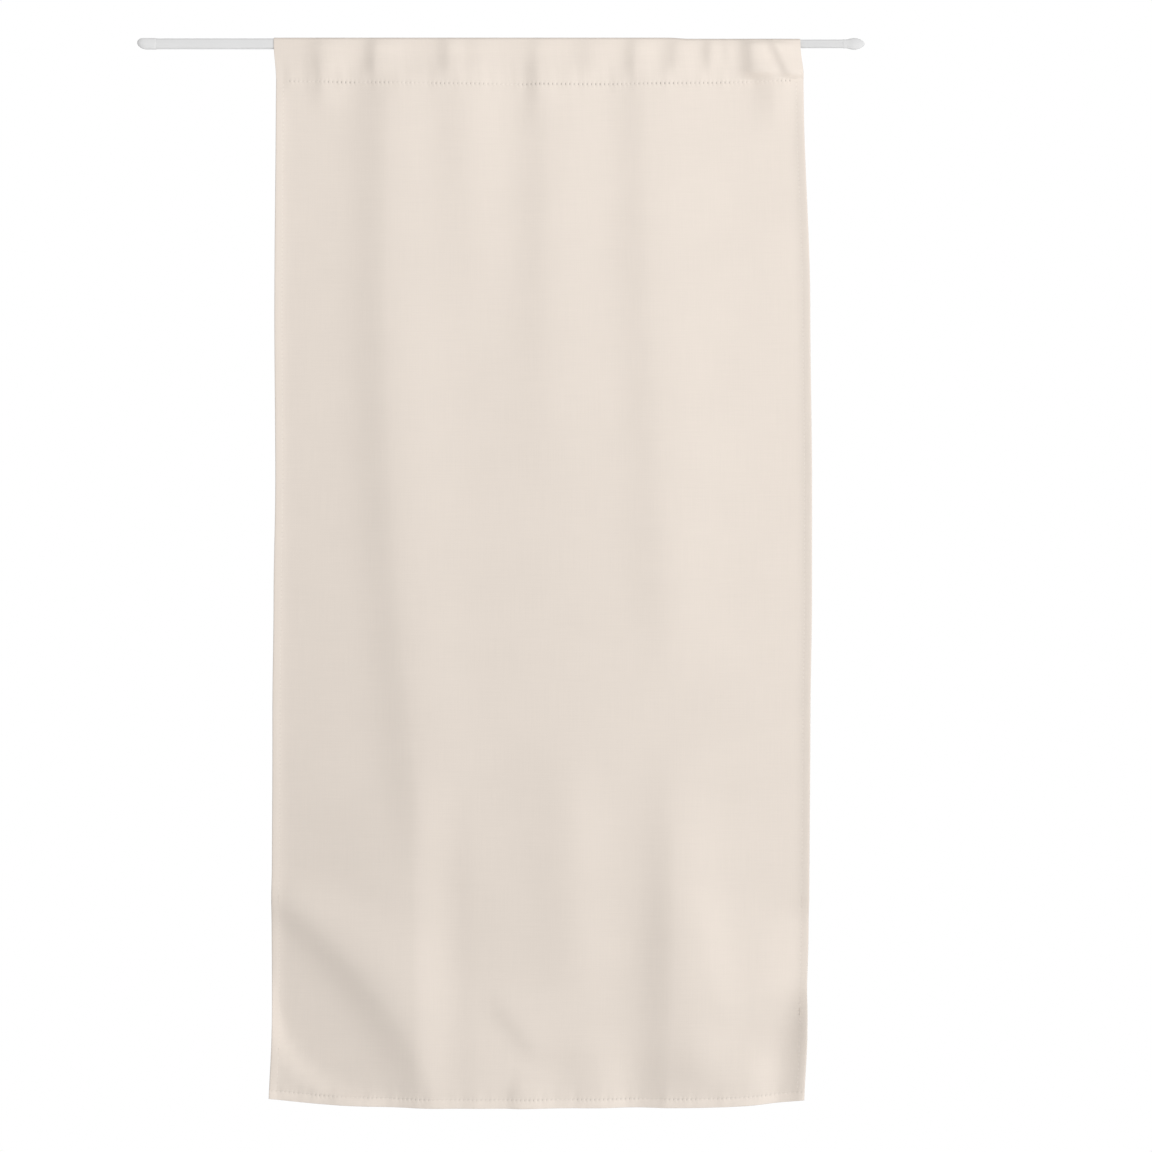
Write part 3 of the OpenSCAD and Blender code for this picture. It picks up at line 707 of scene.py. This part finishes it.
def clothMaterial():
    tree, shader, material = newMaterial("cream_blackout_weave", Roughness=0.72, Sheen_Weight=0.12,
                                         Sheen_Roughness=0.45, Specular_IOR_Level=0.3)
    look = clothLook
    flat = addNode(tree, "ShaderNodeUVMap", uv_map="flat").outputs[0]
    hem = addNode(tree, "ShaderNodeUVMap", uv_map="hem").outputs[0]
    flatAxes = addNode(tree, "ShaderNodeSeparateXYZ", {0: flat}).outputs
    hemAxes = addNode(tree, "ShaderNodeSeparateXYZ", {0: hem}).outputs

    # plain weave: the product of a sine across and a sine down, with slightly uneven threads
    turns = 2 * math.pi / (2 * look["threadPitch"])
    uneven = maths(tree, "MULTIPLY", look["unevenTurn"],
                   maths(tree, "SUBTRACT", noise(tree, flat, look["unevenScale"]), 0.5))
    warp = maths(tree, "SINE", maths(tree, "MULTIPLY_ADD", flatAxes[0], turns, uneven))
    weft = maths(tree, "SINE", maths(tree, "MULTIPLY_ADD", flatAxes[1], turns, uneven))
    weave = maths(tree, "MULTIPLY", warp, weft)

    # slubs are thicker bits of thread, long down the cloth and long across it
    slubDown = noise(tree, scaled(tree, flat, look["slubFine"], look["slubLengthDown"]), 1.0)
    slubAcross = noise(tree, scaled(tree, flat, look["slubLengthAcross"], look["slubFine"]), 1.0)
    mottle = noise(tree, flat, look["mottleScale"], 3.0)
    grain = noise(tree, flat, look["grainScale"])
    tone = 1.0
    for pattern, share in ((slubDown, look["slub"]), (slubAcross, look["slub"]),
                           (mottle, look["mottle"])):
        tone = maths(tree, "MULTIPLY", tone, stretched(tree, pattern, 1 - share, 1 + share))
    tone = maths(tree, "MULTIPLY", tone, maths(tree, "MULTIPLY_ADD", weave, look["weaveTone"],
                                               1 - look["weaveTone"]))

    # painted light: the hem band, from the edge up to its line, is painted paler, standing in for
    # the light the curled hem catches
    hemPaintedLightTone = fading(tree, hemAxes[1], (hemLine + look["hemPaintedLightFrom"]) * metre,
                     (hemLine + look["hemPaintedLightTo"]) * metre, 1 + look["hemPaintedLight"], 1.0)
    tone = maths(tree, "MULTIPLY", tone, hemPaintedLightTone)

    # painted shade in the needle holes at the ends of the stitches, on the four sewn lines
    def nearLine(value, at, size):
        # one on the line and nought a size away
        off = maths(tree, "ABSOLUTE", maths(tree, "SUBTRACT", value, at))
        return fading(tree, off, 0.0, size, 1.0, 0.0)

    def holes(along, start, size):
        phase = maths(tree, "PINGPONG", maths(tree, "SUBTRACT", along, start),
                      stitches["pitch"] * metre / 2)
        return fading(tree, phase, 0.0, size, 1.0, 0.0)

    def ripple(along, start):
        # a cosine along the line, with its crests between the holes
        turn = maths(tree, "MULTIPLY", maths(tree, "SUBTRACT", along, start),
                     2 * math.pi / (stitches["pitch"] * metre))
        return maths(tree, "MULTIPLY", maths(tree, "COSINE", turn), -1.0)

    # each line: its own axis, the place of the line, the axis along it, its first stitch, how
    # strong its painted hole shade and its puckers are and where it runs
    seamPlace = (seamLine - topDrop) * metre
    lines = [
        (flatAxes[1], seamPlace, flatAxes[0], stitches["seamInset"] * metre, 1.0,
         maths(tree, "GREATER_THAN", hemAxes[0],
               (stitches["seamInset"] - stitches["grooveLead"]) * metre)),
        (hemAxes[1], hemLine * metre, flatAxes[0], stitches["edgeInset"] * metre,
         look["hemHoleShare"], 1.0),
        (hemAxes[0], sideLine * metre, flatAxes[1], (sideStart - topDrop) * metre,
         look["sideHoleShare"], maths(tree, "GREATER_THAN", flatAxes[1], seamPlace)),
    ]
    size, tall, reach = look["holeSize"], look["holeTall"], look["puckerReach"]
    holeShadeMask, puckered = 0.0, 0.0
    patches = noise(tree, flat, look["patchScale"], 3.0)
    patchy = maths(tree, "MAXIMUM", stretched(tree, patches, *look["patchTone"]),
                   look["patchLeast"])
    for level, place, along, first, share, runs in lines:
        share = maths(tree, "MULTIPLY", maths(tree, "MULTIPLY", runs, share), patchy)
        hole = maths(tree, "MULTIPLY", nearLine(level, place, tall * size),
                     holes(along, first, size))
        holeShadeMask = maths(tree, "MAXIMUM", holeShadeMask, maths(tree, "MULTIPLY", hole, share))
        wave = maths(tree, "MULTIPLY", nearLine(level, place, reach), ripple(along, first))
        puckered = maths(tree, "MULTIPLY_ADD", wave, share, puckered)
    holeShadeMask = maths(tree, "MINIMUM", holeShadeMask, 1.0)
    # the painted shade of the needle holes darkens the cloth's colour
    tone = maths(tree, "MULTIPLY", tone,
                 maths(tree, "MULTIPLY_ADD", holeShadeMask, -look["holeShade"], 1.0))
    setColour(tree, shader, look["colour"], tone)

    slubs = maths(tree, "ADD", slubDown, slubAcross)
    height = maths(tree, "MULTIPLY", weave, look["weaveHeight"])
    height = maths(tree, "MULTIPLY_ADD", slubs, look["slubHeight"], height)
    height = maths(tree, "MULTIPLY_ADD", grain, look["grainHeight"], height)
    height = maths(tree, "MULTIPLY_ADD", puckered, look["pucker"], height)
    setBump(tree, shader, look["weaveBump"], metre, height)
    return material


def threadMaterial():
    tree, shader, material = newMaterial("cream_sewing_thread", Roughness=0.5, Sheen_Weight=0.1)
    where = addNode(tree, "ShaderNodeTexCoord").outputs["Object"]
    fibres = noise(tree, where, threadLook["fibreScale"], 3.0)
    setColour(tree, shader, threadLook["colour"], stretched(tree, fibres, *threadLook["fibreTone"]))
    setBump(tree, shader, threadLook["bump"], fineBump, fibres)
    return material


tubeLook = dict(
    # painted shade: the inner tube's lacquer is painted darker than the outer one's, to offset the
    # key lamp's stronger light on the right
    outer=(0.75, 0.75, 0.75), inner=(0.67, 0.67, 0.67), bump=0.02, peelScale=700.0,
    drawFine=900.0, drawLong=4.0, drawHeight=0.4, drawTone=(0.985, 1.01),
    cloudScale=25.0, cloudTone=(0.985, 1.015),
)
endLook = dict(
    # painted shade: the finial's plastic is painted darker than the cap's, to offset the key lamp
    # it faces
    cap=(0.78, 0.78, 0.78), finial=(0.69, 0.69, 0.69), bump=0.01, grainScale=1800.0,
    flowFine=220.0, flowLong=60.0, flowTone=(0.985, 1.01),
)


def lacquerMaterial(name, colour):
    # satin white lacquer: fine orange peel, faint draw lines along the tube and a little cloud
    tree, shader, material = newMaterial(name, Roughness=0.5, Specular_IOR_Level=0.25)
    look = tubeLook
    where = addNode(tree, "ShaderNodeTexCoord").outputs["Object"]
    peel = noise(tree, where, look["peelScale"])
    along = scaled(tree, where, look["drawLong"], look["drawFine"], look["drawFine"])
    draw = noise(tree, along, 1.0)
    cloud = noise(tree, where, look["cloudScale"], 3.0)
    tone = maths(tree, "MULTIPLY", stretched(tree, draw, *look["drawTone"]),
                 stretched(tree, cloud, *look["cloudTone"]))
    setColour(tree, shader, colour, tone)
    tree.links.new(stretched(tree, cloud, *satin), shader.inputs["Roughness"])
    height = maths(tree, "MULTIPLY_ADD", draw, look["drawHeight"], peel)
    setBump(tree, shader, look["bump"], fineBump, height)
    return material


def plasticMaterial(name, colour):
    # moulded plastic: soft gloss with a fine spark-eroded grain and faint flow marks
    tree, shader, material = newMaterial(name, Roughness=0.5, Specular_IOR_Level=0.2)
    look = endLook
    where = addNode(tree, "ShaderNodeTexCoord").outputs["Object"]
    grain = noise(tree, where, look["grainScale"])
    along = scaled(tree, where, look["flowLong"], look["flowFine"], look["flowFine"])
    flow = noise(tree, along, 1.0)
    setColour(tree, shader, colour, stretched(tree, flow, *look["flowTone"]))
    tree.links.new(stretched(tree, flow, *satin), shader.inputs["Roughness"])
    setBump(tree, shader, look["bump"], fineBump, grain)
    return material


weave, thread = clothMaterial(), threadMaterial()
capPlastic = plasticMaterial("white_cap_plastic", endLook["cap"])
finialPlasticPaintedShade = plasticMaterial("white_finial_plastic_painted_shade", endLook["finial"])
outerLacquer = lacquerMaterial("white_outer_lacquer", tubeLook["outer"])
innerLacquerPaintedShade = lacquerMaterial("white_inner_lacquer_painted_shade", tubeLook["inner"])


def finishPiece(piece, body, material, slotName, *nodes):
    piece.data.materials.append(material)
    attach(piece, body)
    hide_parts(*nodes)


finishPiece(curtain, "outer_rod", weave, "cloth", "curtain")
for node, piece in threads.items():
    finishPiece(piece, "outer_rod", thread, "thread", node)
finishPiece(outerTube, "outer_rod", outerLacquer, "tube", "outer_tube")
finishPiece(leftCap, "outer_rod", capPlastic, "end_plastic", "left_cap")
finishPiece(innerTube, "inner_rod", innerLacquerPaintedShade, "tube", "inner_tube")
finishPiece(rightFinial, "inner_rod", finialPlasticPaintedShade, "end_plastic", "right_finial")

# camera: it looks straight at the cloth, and the whole frame is 1152 pixels of this many mm
view = dict(pixel=1.1225, pixels=1152, lens=85.0, sensor=36.0, centreX=451.0, centreZ=-597.3)
cameraData = bpy.data.cameras.new("camera")
cameraData.lens = view["lens"]
cameraData.sensor_width = cameraData.sensor_height = view["sensor"]
distance = view["pixel"] * view["pixels"] * view["lens"] / view["sensor"]
camera = bpy.data.objects.new("camera", cameraData)
camera.location = (view["centreX"] * metre, (rodY - distance) * metre, view["centreZ"] * metre)
camera.rotation_euler = (math.radians(90), 0, 0)
bpy.context.scene.collection.objects.link(camera)
bpy.context.scene.camera = camera

# light: a large soft lamp far out on the right, a soft one above and an even room
lamps = {
    "key": dict(power=166.0, size=3.2, away=5.0, right=0.75, front=1.0, up=0.0),
    "overhead": dict(power=8.0, size=1.2, away=2.6, right=-0.1, front=1.0, up=1.5),
}
# the room's light on the object, what a white floor throws up from straight below, and how much
# of the white background shines back from glossy surfaces
light = dict(room=0.375, bounce=0.8, bounceFrom=0.5, bounceFull=0.8, glossy=0.6)
aim = np.array([clothMid, rodY, view["centreZ"]]) * metre
for name, place in lamps.items():
    towards = np.array([place["right"], -place["front"], place["up"]])
    towards /= np.linalg.norm(towards)
    lampData = bpy.data.lights.new(name, "AREA")
    lampData.energy, lampData.size, lampData.shape = place["power"], place["size"], "DISK"
    lamp = bpy.data.objects.new(name, lampData)
    lamp.location = aim + towards * place["away"]
    lamp.rotation_euler = Vector(-towards).to_track_quat("-Z", "Y").to_euler()
    bpy.context.scene.collection.objects.link(lamp)

world = bpy.data.worlds.new("room")
world.use_nodes = True
bpy.context.scene.world = world
tree = world.node_tree
tree.nodes.clear()
path = addNode(tree, "ShaderNodeLightPath").outputs
seen = maths(tree, "MAXIMUM", path["Is Camera Ray"], path["Is Transmission Ray"])
seen = maths(tree, "MAXIMUM", seen, maths(tree, "MULTIPLY", path["Is Glossy Ray"], light["glossy"]))
ray = addNode(tree, "ShaderNodeTexCoord").outputs["Generated"]
below = maths(tree, "MULTIPLY", addNode(tree, "ShaderNodeSeparateXYZ", {0: ray}).outputs[2], -1.0)
bounce = fading(tree, below, light["bounceFrom"], light["bounceFull"], 0.0, light["bounce"])
room = maths(tree, "ADD", bounce, light["room"])
strength = maths(tree, "MULTIPLY_ADD", seen, maths(tree, "SUBTRACT", 1.0, room), room)
background = addNode(tree, "ShaderNodeBackground", {"Color": (1, 1, 1, 1), "Strength": strength})
tree.links.new(background.outputs[0], addNode(tree, "ShaderNodeOutputWorld").inputs[0])

# floor: a pale disc well below the cloth that fades out at its rim
floorLook = dict(z=-1.6, radius=1.4, rim=0.5, sides=96)
angle = np.radians(np.arange(floorLook["sides"]) * 360 / floorLook["sides"])
disc = np.stack([aim[0] + floorLook["radius"] * np.cos(angle),
                 aim[1] + floorLook["radius"] * np.sin(angle),
                 np.full(floorLook["sides"], floorLook["z"])], -1) / metre
floor = addMesh("floor", disc, np.arange(floorLook["sides"])[None])
tree, shader, material = newMaterial("pale_floor", Roughness=0.9)
shader.inputs["Base Color"].default_value = (0.9, 0.9, 0.9, 1)
where = addNode(tree, "ShaderNodeTexCoord").outputs["Object"]
centred = addNode(tree, "ShaderNodeVectorMath", {0: where, 1: (aim[0], aim[1], floorLook["z"])},
                  operation="SUBTRACT").outputs[0]
reach = addNode(tree, "ShaderNodeVectorMath", {0: centred}, operation="LENGTH").outputs["Value"]
solid = fading(tree, reach, floorLook["rim"], floorLook["radius"], 1.0, 0.0)
tree.links.new(solid, shader.inputs["Alpha"])
floor.data.materials.append(material)

bpy.context.scene.view_settings.view_transform = "Standard"

print("scene ready")
